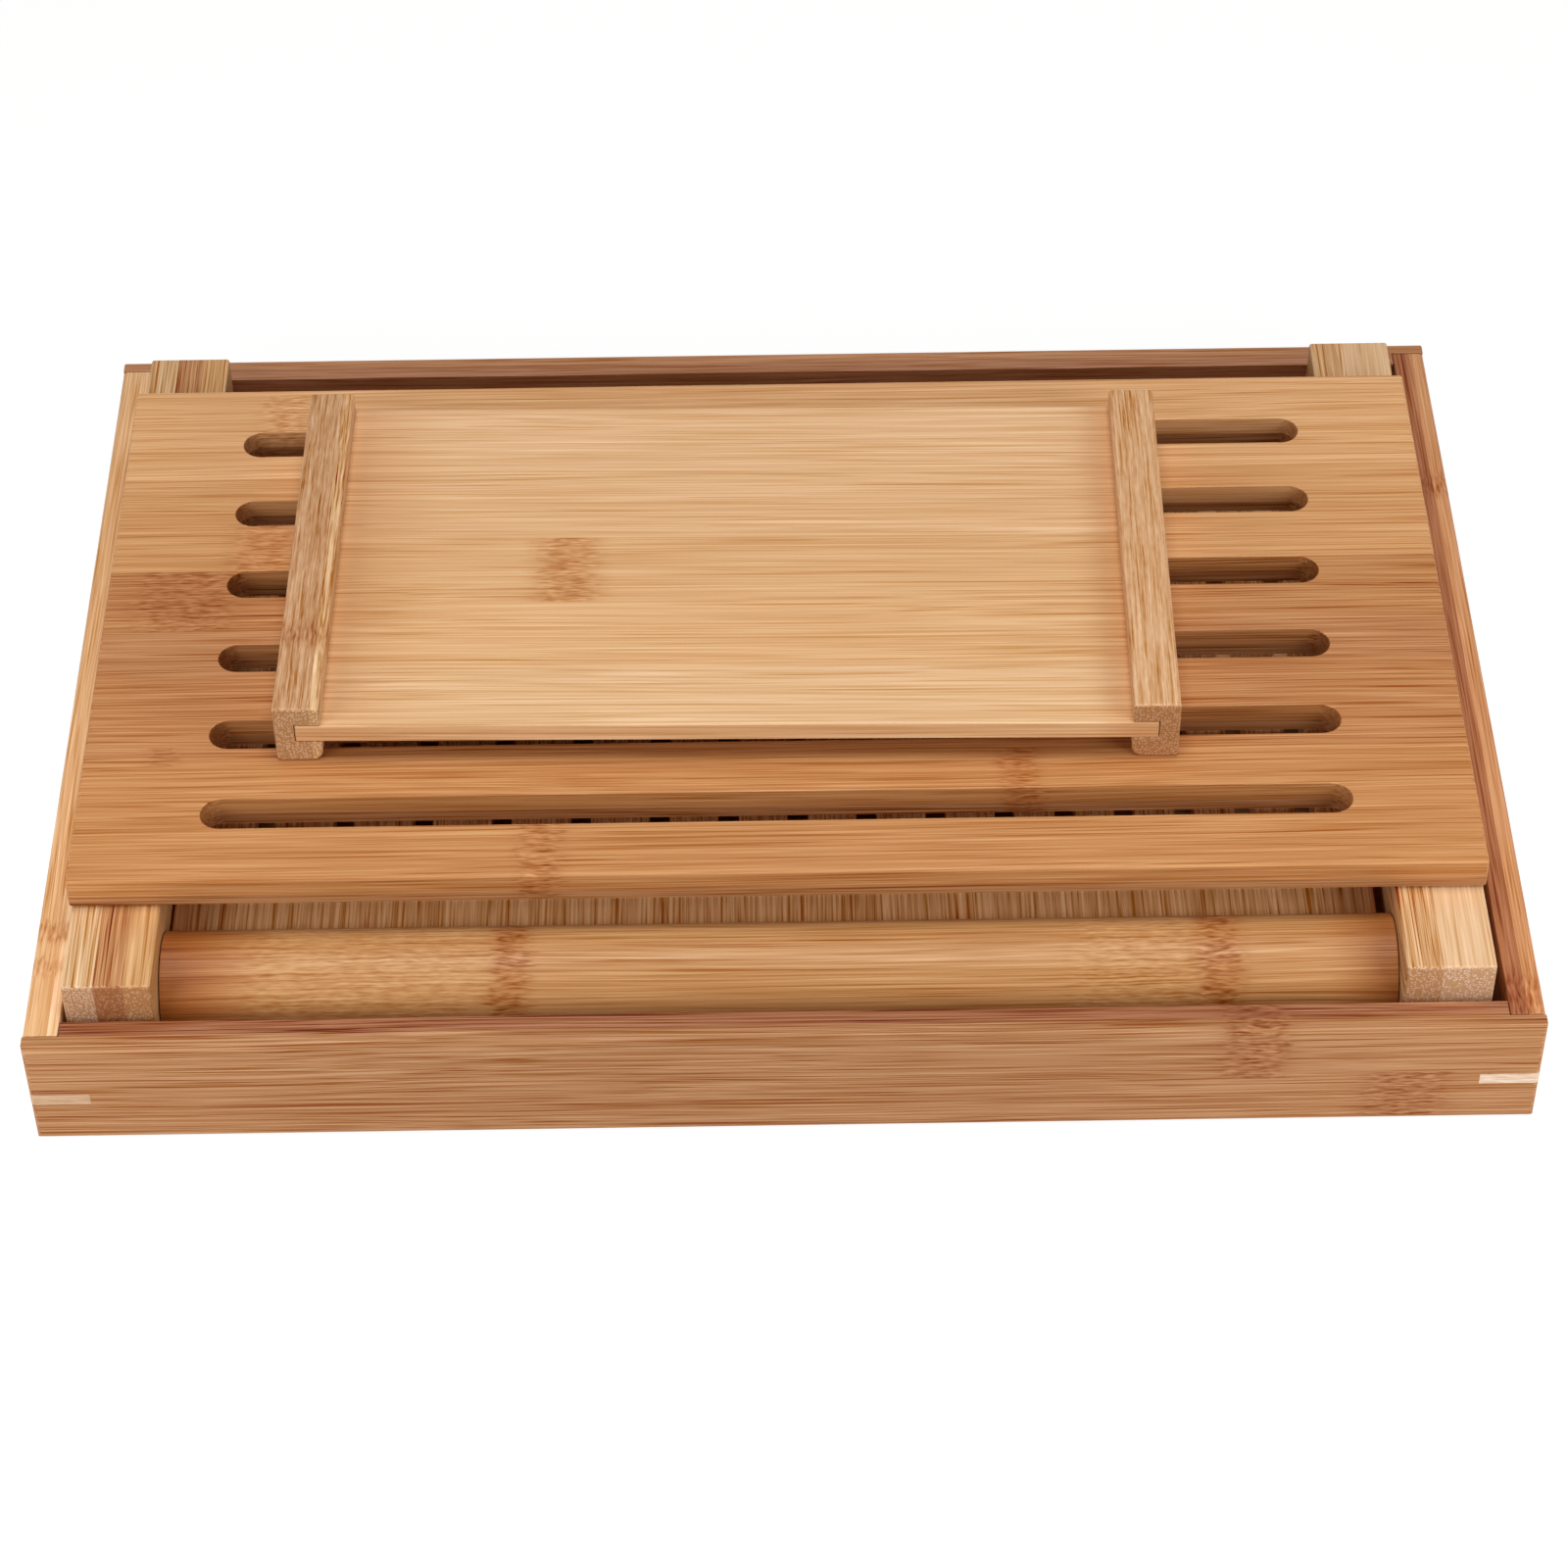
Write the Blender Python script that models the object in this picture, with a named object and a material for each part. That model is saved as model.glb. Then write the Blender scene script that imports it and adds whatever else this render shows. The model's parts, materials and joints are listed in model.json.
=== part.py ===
"""A folding bread slicing guide of bamboo, packed flat in its crumb tray.

The tray is the base. In it stands a frame of two rails and two ties. A round
bar turns between the front ends of the rails and carries a comb of knife
slots, which lies folded inside the frame. A slotted board lies on the rails,
located by pegs, and a loose loaf pusher lies on the board.

Metres, +Z up, the bar at the front (-Y). The origin is on the table, under the
middle of the tray.
"""

import math

import bmesh
import bpy
from mathutils import Matrix, Vector

# Clearances
glue_line = 0.0002
seat_gap = 0.0003
cutter_overrun = 0.002

# Crumb tray
tray_width = 0.320
tray_depth = 0.225
tray_height = 0.0288
tray_wall = 0.0075
tray_arris = 0.0011
wall_lap_share = 0.5
floor_thickness = 0.0030
floor_height = 0.0025
floor_groove = 0.0040
key_cover = 0.0015
key_thickness = 0.0030
key_height = 0.0124

# Frame that stands in the tray
frame_left_gap = 0.0010
frame_right_gap = 0.0029
frame_end_gap = 0.0020
rail_width = 0.0189
rail_height = 0.0315
rail_arris = 0.0006
tie_width = 0.022
tie_under_comb = 0.0755
tie_behind_comb = 0.022
tie_arris = 0.0005
dowel_radius = 0.0030
dowel_in_rail = 0.0090
dowel_in_tie = 0.0110
dowel_spacing = 0.012

# Slicing guide
bar_radius = 0.012
bar_setback = 0.0153
pivot_height_share = 0.46
bar_end_gap = 0.00025
comb_left_gap = 0.0005
comb_right_gap = 0.0022
comb_reach = 0.1463
comb_thickness = 0.0080
comb_face_rise = 0.0042
comb_root = 0.0030
knife_slot_width = 0.0046
knife_slot_root = 0.0233
first_slot_margin = 0.0177
slices_per_group = 5
slice_thick = 0.0175
slice_medium = 0.0153
slice_thin = 0.0133
tooth_arris = 0.0006
pin_radius = 0.0040
pin_in_bar = 0.0120
pin_in_rail = 0.0110

# Slotted board
board_front_setback = 0.0228
board_rear_setback = 0.0220
board_thickness = 0.0077
board_overhang = 0.0005
board_arris = 0.0007
slot_count = 6
slot_edge_margin = 0.0198
slot_side_margin = 0.0270
slot_width = 0.0088
peg_radius = 0.0030
peg_in_rail = 0.0100
peg_in_board = 0.0045
peg_inset = 0.025

# Loaf pusher
pusher_width = 0.1958
pusher_depth = 0.1057
pusher_rail_width = 0.0101
pusher_rail_height = 0.0151
pusher_inner_round = 0.0025
pusher_outer_round = 0.0009
pusher_top_arris = 0.0004
panel_thickness = 0.0045
panel_height = 0.0055
panel_groove = 0.0056
pusher_left_of_middle = 0.0098
pusher_behind_middle = 0.0070
pusher_turn = math.radians(-0.8)

# Facets
arc_steps = 12
round_sides = 20
bar_sides = 64
arris_segments = 3

# Worked out from the sizes above
wall_lap = tray_wall * wall_lap_share
key_leg = 2 * tray_wall - key_cover * math.sqrt(2.0)
floor_top = floor_height + floor_thickness
frame_width = tray_width - 2 * tray_wall - frame_left_gap - frame_right_gap
frame_depth = tray_depth - 2 * (tray_wall + frame_end_gap)
frame_base = floor_top + seat_gap
frame_x = (frame_left_gap - frame_right_gap) / 2
rail_x = (frame_width - rail_width) / 2
rail_gap = frame_width - 2 * rail_width
pivot_y = bar_setback - frame_depth / 2
pivot_z = rail_height * pivot_height_share
bar_length = rail_gap - 2 * bar_end_gap
comb_left = comb_left_gap - rail_gap / 2
comb_right = rail_gap / 2 - comb_right_gap
comb_top = comb_face_rise
comb_under = comb_face_rise - comb_thickness
tie_height = pivot_z + comb_under - seat_gap
tie_length = rail_gap - 2 * glue_line
board_width = frame_width + 2 * board_overhang
board_depth = frame_depth - board_front_setback - board_rear_setback
board_y = (board_front_setback - board_rear_setback) / 2
board_base = rail_height + seat_gap
slot_length = board_width - 2 * slot_side_margin
slot_pitch = (board_depth - 2 * slot_edge_margin) / (slot_count - 1)
peg_y = board_depth / 2 - peg_inset
pusher_base = board_thickness + seat_gap


def clear_scene():
    for old in list(bpy.data.objects):
        bpy.data.objects.remove(old, do_unlink=True)


def bamboo(name, colour, roughness):
    material = bpy.data.materials.new(name)
    material.use_nodes = True
    shader = material.node_tree.nodes["Principled BSDF"]
    shader.inputs["Base Color"].default_value = (*colour, 1.0)
    shader.inputs["Roughness"].default_value = roughness
    shader.inputs["Metallic"].default_value = 0.0
    return material


def seat(name, place, parent=None, turn=0.0):
    """An empty that carries the pieces of one moving group."""
    empty = bpy.data.objects.new(name, None)
    bpy.context.scene.collection.objects.link(empty)
    empty.parent = parent
    empty.location = place
    empty.rotation_euler = (0.0, 0.0, turn)
    return empty


def piece(name, bm, material, parent, place=(0.0, 0.0, 0.0), smooth=False):
    """One sub-part: the bmesh becomes a named object under its seat."""
    bmesh.ops.recalc_face_normals(bm, faces=bm.faces)
    mesh = bpy.data.meshes.new(name)
    bm.to_mesh(mesh)
    bm.free()
    if smooth:
        mesh.shade_smooth()
        mesh.set_sharp_from_angle(angle=math.radians(35.0))
    if material:
        mesh.materials.append(material)
    obj = bpy.data.objects.new(name, mesh)
    bpy.context.scene.collection.objects.link(obj)
    obj.parent = parent
    obj.location = place
    return obj


def block(low, high):
    """A box between two corners."""
    bm = bmesh.new()
    bmesh.ops.create_cube(bm, size=1.0)
    low = Vector(low)
    high = Vector(high)
    sides = high - low
    bmesh.ops.scale(bm, vec=sides, verts=bm.verts)
    bmesh.ops.translate(bm, vec=(low + high) / 2, verts=bm.verts)
    return bm


def middle_block(width, depth, height):
    """A box centred in X and Y, standing on its base."""
    return block((-width / 2, -depth / 2, 0.0), (width / 2, depth / 2, height))


def prism(outline, low, high):
    """An outline in X and Y, drawn out from one height to another."""
    bm = bmesh.new()
    face = bm.faces.new([bm.verts.new((x, y, low)) for x, y in outline])
    drawn = bmesh.ops.extrude_face_region(bm, geom=[face])
    top = [item for item in drawn["geom"] if isinstance(item, bmesh.types.BMVert)]
    bmesh.ops.translate(bm, vec=(0.0, 0.0, high - low), verts=top)
    return bm


def rod(radius, low, high, sides=round_sides):
    """A round rod along Z."""
    bm = bmesh.new()
    bmesh.ops.create_cone(
        bm, cap_ends=True, segments=sides, radius1=radius, radius2=radius, depth=high - low
    )
    bmesh.ops.translate(bm, vec=(0.0, 0.0, (low + high) / 2), verts=bm.verts)
    return bm


def moved(bm, place):
    bmesh.ops.translate(bm, vec=place, verts=bm.verts)
    return bm


def along_x(bm):
    """Turns a piece that stands along +Z so that it lies along +X."""
    bmesh.ops.rotate(bm, matrix=Matrix.Rotation(math.radians(90.0), 3, "Y"), verts=bm.verts)
    return bm


def joined(parts):
    """Several separate bodies in one bmesh, used for cutters."""
    whole = bmesh.new()
    for part in parts:
        mesh = bpy.data.meshes.new("part")
        bmesh.ops.recalc_face_normals(part, faces=part.faces)
        part.to_mesh(mesh)
        part.free()
        whole.from_mesh(mesh)
        bpy.data.meshes.remove(mesh)
    return whole


def cut(target, name, parts):
    """Takes the given bodies out of a piece. They are in the piece's own coordinates."""
    cutter = piece(name, joined(parts), None, target)
    cutter.hide_render = True
    cutter.display_type = "WIRE"
    boolean = target.modifiers.new(name, "BOOLEAN")
    boolean.operation = "DIFFERENCE"
    boolean.solver = "EXACT"
    boolean.object = cutter


def ease(target, width, segments=arris_segments):
    """Rounds every sharp edge of a piece, after its cuts."""
    bevel = target.modifiers.new("arris", "BEVEL")
    bevel.width = width
    bevel.segments = segments
    bevel.limit_method = "ANGLE"
    bevel.angle_limit = math.radians(40.0)


def round_along(bm, radius, wanted, segments=arris_segments):
    """Rounds the edges for which the function wanted is true."""
    bmesh.ops.bevel(
        bm,
        geom=[edge for edge in bm.edges if wanted(edge)],
        offset=radius,
        segments=segments,
        profile=0.5,
        affect="EDGES",
        material=-1,
        clamp_overlap=True,
    )
    return bm


def runs_along(edge, axis):
    direction = (edge.verts[1].co - edge.verts[0].co).normalized()
    return abs(direction[axis]) > 1.0 - 1.0e-4


def middle_of(edge):
    return (edge.verts[0].co + edge.verts[1].co) / 2


def eased_wall(low, high, outer):
    """A tray wall, with the edges rounded that lie on the outside of the tray."""
    bm = block(low, high)

    def on_outside(edge):
        return outer(middle_of(edge))

    return round_along(bm, tray_arris, on_outside)


def end_wall(name, side, material, tray):
    """The front (side -1) or back (side +1) wall: full width, lapped over the side walls' ends."""
    face = side * tray_depth / 2
    inner = face - side * tray_wall
    low = (-tray_width / 2, min(face, inner), 0.0)
    high = (tray_width / 2, max(face, inner), tray_height)

    def outer(point):
        on_face = abs(point.y - face) < glue_line
        on_end = abs(abs(point.x) - tray_width / 2) < glue_line
        on_rim = abs(point.z) < glue_line or abs(point.z - tray_height) < glue_line
        return on_face and (on_rim or on_end)

    wall = piece(name, eased_wall(low, high, outer), material, tray)
    lap = face - side * (wall_lap - glue_line)
    past = inner - side * cutter_overrun
    laps = [
        block(
            (x - tray_wall - glue_line, min(lap, past), -cutter_overrun),
            (x + tray_wall + glue_line, max(lap, past), tray_height + cutter_overrun),
        )
        for x in (-tray_width / 2, tray_width / 2)
    ]
    cut(wall, name + "_laps", laps)
    cut(wall, name + "_groove", [floor_groove_cutter()])
    return wall


def side_wall(name, side, material, tray):
    """The left (side -1) or right (side +1) wall, which ends inside the laps of the end walls."""
    face = side * tray_width / 2
    inner = face - side * tray_wall
    reach = tray_depth / 2 - wall_lap
    low = (min(face, inner), -reach, 0.0)
    high = (max(face, inner), reach, tray_height)

    def outer(point):
        on_rim = abs(point.z) < glue_line or abs(point.z - tray_height) < glue_line
        return abs(point.x - face) < glue_line and on_rim

    wall = piece(name, eased_wall(low, high, outer), material, tray)
    cut(wall, name + "_groove", [floor_groove_cutter()])
    return wall


def floor_half():
    """Half the width and half the depth of the floor panel, which runs into grooves in the walls."""
    return (
        tray_width / 2 - tray_wall + floor_groove,
        tray_depth / 2 - tray_wall + floor_groove,
    )


def floor_groove_cutter():
    half_x, half_y = floor_half()
    return block(
        (-half_x - glue_line, -half_y - glue_line, floor_height - glue_line),
        (half_x + glue_line, half_y + glue_line, floor_top + glue_line),
    )


def key_body(side_x, side_y, spare):
    """A flat triangular key across one corner of the tray, or its kerf when spare is more than zero."""
    corner_x = side_x * (tray_width / 2 + spare)
    corner_y = side_y * (tray_depth / 2 + spare)
    leg = key_leg + 2 * spare
    outline = [
        (corner_x, corner_y),
        (corner_x - side_x * leg, corner_y),
        (corner_x, corner_y - side_y * leg),
    ]
    half = key_thickness / 2 + spare
    return prism(outline, key_height - half, key_height + half)


def build_tray():
    tray = seat("tray_seat", (0.0, 0.0, 0.0))
    sides = {"left": -1, "right": 1}
    ends = {"front": -1, "back": 1}
    tones = {
        "front": bamboo("front wall bamboo", (0.50, 0.25, 0.115), 0.42),
        "back": bamboo("back wall bamboo", (0.47, 0.25, 0.12), 0.42),
        "left": bamboo("left wall bamboo", (0.66, 0.40, 0.19), 0.42),
        "right": bamboo("right wall bamboo", (0.40, 0.18, 0.09), 0.42),
    }
    walls = {}
    for name, side in ends.items():
        walls[name] = end_wall("tray_" + name + "_wall", side, tones[name], tray)
    for name, side in sides.items():
        walls[name] = side_wall("tray_" + name + "_wall", side, tones[name], tray)
    half_x, half_y = floor_half()
    floor = block((-half_x, -half_y, floor_height), (half_x, half_y, floor_top))
    piece("tray_floor", floor, bamboo("floor bamboo", (0.45, 0.26, 0.13), 0.5), tray)
    for end, side_y in ends.items():
        for flank, side_x in sides.items():
            corner = end + "_" + flank
            tone = bamboo("key " + corner, (0.72, 0.50, 0.32), 0.5)
            piece("corner_key_" + corner, key_body(side_x, side_y, 0.0), tone, tray)
            for wall in (walls[end], walls[flank]):
                cut(wall, "kerf_" + corner, [key_body(side_x, side_y, glue_line)])


def tie_places():
    """Each tie's name and the middle of its depth, in the frame."""
    return {
        "middle": frame_depth / 2 - tie_under_comb - tie_width / 2,
        "rear": frame_depth / 2 - tie_behind_comb - tie_width / 2,
    }


def dowel_rows():
    """Each dowel of one rail: its name, and its place along the rail."""
    rows = {}
    for tie, middle in tie_places().items():
        rows[tie + "_front"] = middle - dowel_spacing / 2
        rows[tie + "_back"] = middle + dowel_spacing / 2
    return rows


def build_rail(name, side, material, frame):
    bm = middle_block(rail_width, frame_depth, rail_height)
    round_along(bm, rail_arris, lambda edge: True)
    rail = piece("rail_" + name, bm, material, frame, (side * rail_x, 0.0, 0.0))
    inner = -side * rail_width / 2
    past = inner - side * cutter_overrun
    holes = []
    depth = inner + side * (dowel_in_rail + seat_gap)
    for y in dowel_rows().values():
        hole = along_x(rod(dowel_radius + glue_line, min(depth, past), max(depth, past)))
        holes.append(moved(hole, (0.0, y, tie_height / 2)))
    depth = inner + side * (pin_in_rail + seat_gap)
    hole = along_x(rod(pin_radius + seat_gap, min(depth, past), max(depth, past)))
    holes.append(moved(hole, (0.0, pivot_y, pivot_z)))
    for y in (board_y - peg_y, board_y + peg_y):
        hole = rod(peg_radius + glue_line, rail_height - peg_in_rail - seat_gap, rail_height + cutter_overrun)
        holes.append(moved(hole, (0.0, y, 0.0)))
    cut(rail, "rail_" + name + "_holes", holes)


def build_tie(name, y, material, frame):
    bm = middle_block(tie_length, tie_width, tie_height)
    round_along(bm, tie_arris, lambda edge: runs_along(edge, 0))
    tie = piece("tie_" + name, bm, material, frame, (0.0, y, 0.0))
    holes = []
    for side in (-1, 1):
        end = side * tie_length / 2
        depth = end - side * (dowel_in_tie + seat_gap)
        past = end + side * cutter_overrun
        for offset in (-dowel_spacing / 2, dowel_spacing / 2):
            hole = along_x(rod(dowel_radius + glue_line, min(depth, past), max(depth, past)))
            holes.append(moved(hole, (0.0, offset, tie_height / 2)))
    cut(tie, "tie_" + name + "_holes", holes)


def build_frame():
    frame = seat("frame_seat", (frame_x, 0.0, frame_base))
    build_rail("left", -1, bamboo("left rail bamboo", (0.70, 0.44, 0.22), 0.42), frame)
    build_rail("right", 1, bamboo("right rail bamboo", (0.74, 0.50, 0.28), 0.42), frame)
    tie_bamboo = bamboo("tie bamboo", (0.60, 0.37, 0.18), 0.5)
    for name, y in tie_places().items():
        build_tie(name, y, tie_bamboo, frame)
    dowel_wood = bamboo("dowel wood", (0.72, 0.52, 0.33), 0.6)
    joint = rail_gap / 2
    for flank, side in (("left", -1), ("right", 1)):
        outer = side * (joint + dowel_in_rail)
        inner = side * (joint - glue_line - dowel_in_tie)
        for place, y in dowel_rows().items():
            dowel = along_x(rod(dowel_radius, min(inner, outer), max(inner, outer)))
            name = "dowel_" + place + "_" + flank
            piece(name, dowel, dowel_wood, frame, (0.0, y, tie_height / 2), smooth=True)
        for end, y in (("front", board_y - peg_y), ("back", board_y + peg_y)):
            peg = rod(peg_radius, rail_height - peg_in_rail, board_base + peg_in_board)
            name = "peg_" + end + "_" + flank
            piece(name, peg, dowel_wood, frame, (side * rail_x, y, 0.0), smooth=True)
    return frame


def knife_slots():
    """The middle of each knife slot, from the thick slices on the left to the thin ones."""
    x = comb_left + first_slot_margin
    places = [x]
    for pitch in (slice_thick, slice_medium, slice_thin):
        for _ in range(slices_per_group):
            x += pitch
            places.append(x)
    return [x for x in places if x < comb_right - knife_slot_width]


def build_guide(frame):
    guide = seat("guide_axis", (0.0, pivot_y, pivot_z), frame)
    bar_bm = along_x(rod(bar_radius, -bar_length / 2, bar_length / 2, bar_sides))
    bar = piece("guide_bar", bar_bm, bamboo("bar bamboo", (0.66, 0.38, 0.15), 0.4), guide, smooth=True)
    groove = block(
        (-bar_length / 2 - cutter_overrun, comb_root - glue_line, comb_under - glue_line),
        (bar_length / 2 + cutter_overrun, bar_radius + cutter_overrun, comb_top + glue_line),
    )
    cut(bar, "bar_groove", [groove])
    pin_wood = bamboo("pin wood", (0.70, 0.50, 0.32), 0.6)
    bores = []
    for flank, side in (("left", -1), ("right", 1)):
        end = side * bar_length / 2
        depth = end - side * (pin_in_bar + seat_gap)
        past = end + side * cutter_overrun
        bores.append(along_x(rod(pin_radius + glue_line, min(depth, past), max(depth, past))))
        inner = end - side * pin_in_bar
        outer = side * (rail_gap / 2 + pin_in_rail)
        pin = along_x(rod(pin_radius, min(inner, outer), max(inner, outer)))
        piece("hinge_pin_" + flank, pin, pin_wood, guide, smooth=True)
    cut(bar, "bar_bores", bores)
    comb_bm = block((comb_left, comb_root, comb_under), (comb_right, comb_reach, comb_top))
    comb = piece("guide_comb", comb_bm, bamboo("comb bamboo", (0.55, 0.33, 0.16), 0.45), guide)
    slots = [
        block(
            (x - knife_slot_width / 2, knife_slot_root, comb_under - cutter_overrun),
            (x + knife_slot_width / 2, comb_reach + cutter_overrun, comb_top + cutter_overrun),
        )
        for x in knife_slots()
    ]
    cut(comb, "knife_slots", slots)
    ease(comb, tooth_arris, 1)
    pocket = pin_radius + 2 * glue_line
    reliefs = []
    for side in (-1, 1):
        end = side * bar_length / 2
        depth = end - side * (pin_in_bar + 2 * seat_gap)
        past = end + side * cutter_overrun
        reliefs.append(along_x(rod(pocket, min(depth, past), max(depth, past))))
    cut(comb, "pin_reliefs", reliefs)


def slot_outline(length, width):
    """A slot with round ends, as points round its rim."""
    radius = width / 2
    run = length / 2 - radius
    points = []
    for side in (1, -1):
        for step in range(arc_steps + 1):
            angle = math.radians(180.0) * (step / arc_steps - 0.5)
            points.append(
                (side * (run + radius * math.cos(angle)), side * radius * math.sin(angle))
            )
    return points


def build_board(frame):
    """The slotted board that the loaf stands on. Crumbs fall through its slots."""
    board_seat = seat("board_seat", (0.0, board_y, board_base), frame)
    bm = middle_block(board_width, board_depth, board_thickness)
    round_along(bm, board_arris, lambda edge: True)
    tone = bamboo("board bamboo", (0.66, 0.37, 0.16), 0.42)
    board = piece("slotted_board", bm, tone, board_seat)
    cutters = []
    for row in range(slot_count):
        y = (row - (slot_count - 1) / 2) * slot_pitch
        slot = prism(
            slot_outline(slot_length, slot_width), -cutter_overrun, board_thickness + cutter_overrun
        )
        cutters.append(moved(slot, (0.0, y, 0.0)))
    for x in (-rail_x, rail_x):
        for y in (-peg_y, peg_y):
            hole = rod(peg_radius + seat_gap, -cutter_overrun, peg_in_board + seat_gap)
            cutters.append(moved(hole, (x, y, 0.0)))
    cut(board, "board_slots", cutters)
    return board_seat


def pusher_rail_bm(side):
    """A rail of the pusher, its lower edges rounded, the inner one more than the outer one."""
    bm = middle_block(pusher_rail_width, pusher_depth, pusher_rail_height)

    def low(edge):
        return runs_along(edge, 1) and middle_of(edge).z < glue_line

    round_along(bm, pusher_inner_round, lambda edge: low(edge) and middle_of(edge).x * side < 0.0, 4)
    flat = pusher_rail_width / 2 - glue_line
    round_along(bm, pusher_outer_round, lambda edge: low(edge) and middle_of(edge).x * side > flat)
    rim = pusher_rail_height - glue_line
    return round_along(bm, pusher_top_arris, lambda edge: middle_of(edge).z > rim, 1)


def build_pusher(board_seat):
    place = (-pusher_left_of_middle, pusher_behind_middle - board_y, pusher_base)
    pusher = seat("pusher_seat", place, board_seat, pusher_turn)
    half_panel = pusher_width / 2 - pusher_rail_width + panel_groove
    panel = block(
        (-half_panel, -pusher_depth / 2, panel_height),
        (half_panel, pusher_depth / 2, panel_height + panel_thickness),
    )
    piece("pusher_panel", panel, bamboo("panel bamboo", (0.72, 0.46, 0.22), 0.4), pusher)
    for flank, side in (("left", -1), ("right", 1)):
        tone = bamboo("pusher " + flank + " rail bamboo", (0.58, 0.38, 0.22), 0.45)
        middle = side * (pusher_width - pusher_rail_width) / 2
        rail = piece("pusher_rail_" + flank, pusher_rail_bm(side), tone, pusher, (middle, 0.0, 0.0))
        bottom = side * (pusher_rail_width / 2 - pusher_rail_width + panel_groove + glue_line)
        mouth = -side * (pusher_rail_width / 2 + cutter_overrun)
        groove = block(
            (min(bottom, mouth), -pusher_depth / 2 - cutter_overrun, panel_height - glue_line),
            (
                max(bottom, mouth),
                pusher_depth / 2 + cutter_overrun,
                panel_height + panel_thickness + glue_line,
            ),
        )
        cut(rail, "pusher_groove_" + flank, [groove])


def build():
    clear_scene()
    build_tray()
    frame = build_frame()
    build_guide(frame)
    board_seat = build_board(frame)
    build_pusher(board_seat)


build()
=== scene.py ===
# %% [markdown]
# # A bamboo bread slicing guide
#
# The object is a flat package of laminated bamboo: a crumb tray, a frame standing
# in it, a comb of knife slots folded inside the frame, a slotted board on top and
# a small loaf pusher on the board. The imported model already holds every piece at
# its real size, so this lesson is about looks: fine edges, and bamboo that reads
# as bamboo from every side.

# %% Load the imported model
import json
import math

import bmesh
import bpy
from mathutils import Matrix, Vector

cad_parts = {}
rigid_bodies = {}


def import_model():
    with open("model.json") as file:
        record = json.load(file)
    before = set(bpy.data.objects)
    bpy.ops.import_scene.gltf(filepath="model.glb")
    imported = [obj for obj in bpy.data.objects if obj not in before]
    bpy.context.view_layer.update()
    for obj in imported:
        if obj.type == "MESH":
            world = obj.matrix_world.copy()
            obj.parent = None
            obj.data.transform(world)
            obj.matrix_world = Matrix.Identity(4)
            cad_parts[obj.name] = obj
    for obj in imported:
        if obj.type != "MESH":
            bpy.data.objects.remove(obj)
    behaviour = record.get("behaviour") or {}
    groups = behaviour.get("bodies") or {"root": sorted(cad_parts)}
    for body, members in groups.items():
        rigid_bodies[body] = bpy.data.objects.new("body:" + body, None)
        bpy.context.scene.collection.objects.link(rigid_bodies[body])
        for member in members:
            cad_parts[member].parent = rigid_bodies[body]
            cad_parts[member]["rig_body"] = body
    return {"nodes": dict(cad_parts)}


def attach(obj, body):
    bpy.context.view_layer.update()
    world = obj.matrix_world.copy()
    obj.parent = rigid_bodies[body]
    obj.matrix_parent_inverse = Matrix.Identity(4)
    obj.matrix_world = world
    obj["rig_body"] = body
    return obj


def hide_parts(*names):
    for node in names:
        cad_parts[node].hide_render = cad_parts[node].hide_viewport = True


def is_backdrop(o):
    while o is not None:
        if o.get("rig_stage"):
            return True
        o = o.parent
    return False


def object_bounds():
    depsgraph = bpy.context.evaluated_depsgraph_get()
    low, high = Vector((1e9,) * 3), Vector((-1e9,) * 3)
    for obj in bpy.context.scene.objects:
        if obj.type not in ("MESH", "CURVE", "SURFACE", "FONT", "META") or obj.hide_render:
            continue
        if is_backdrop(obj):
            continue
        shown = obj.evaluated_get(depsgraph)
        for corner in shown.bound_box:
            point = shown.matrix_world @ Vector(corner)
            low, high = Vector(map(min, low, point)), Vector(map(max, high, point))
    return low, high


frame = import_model()
nodes = frame["nodes"]
cad_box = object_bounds()
mm = 0.001

# %% [markdown]
# ## Camera
#
# The photograph looks down at about 45 degrees from far away, so a long lens is
# needed: with a short one the far side would shrink too much. A camera in Blender
# looks along its own -Z, with +Y up in the picture, so the three axes below are
# worked out from the yaw, the pitch and the small roll, and become its matrix.

# %% The camera at the photograph's angle
camera_place = Vector((-1.68, -694.0, 689.9)) * mm
yaw = math.radians(0.2155)
pitch = math.radians(45.2018)
roll = math.radians(-0.6887)
lens = 96.475
sensor = 36.0

forward = Vector((math.sin(yaw) * math.cos(pitch), math.cos(yaw) * math.cos(pitch), -math.sin(pitch)))
level = Vector((math.cos(yaw), -math.sin(yaw), 0.0))
upright = level.cross(forward)
across_view = math.cos(roll) * level + math.sin(roll) * upright
up_view = math.cos(roll) * upright - math.sin(roll) * level

camera_data = bpy.data.cameras.new("camera")
camera_data.lens = lens
camera_data.sensor_width = sensor
camera = bpy.data.objects.new("camera", camera_data)
axes = Matrix((across_view, up_view, -forward)).transposed().to_4x4()
camera.matrix_world = Matrix.Translation(camera_place) @ axes
bpy.context.scene.collection.objects.link(camera)
bpy.context.scene.camera = camera
print("camera distance to the middle of the table, mm:", round(camera_place.length / mm))

# %% [markdown]
# ## Light
#
# The shadows tell how the real object was lit. Every edge throws a shadow straight
# down, so a wide soft box hangs overhead. The front wall is brighter at both ends
# than in its middle, and the slots' ends are darker on their outer side, so two
# small boxes stand close to the front corners. Close lamps fall off within the
# object's own width, and that gives the fall-off seen along the front wall.

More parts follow.
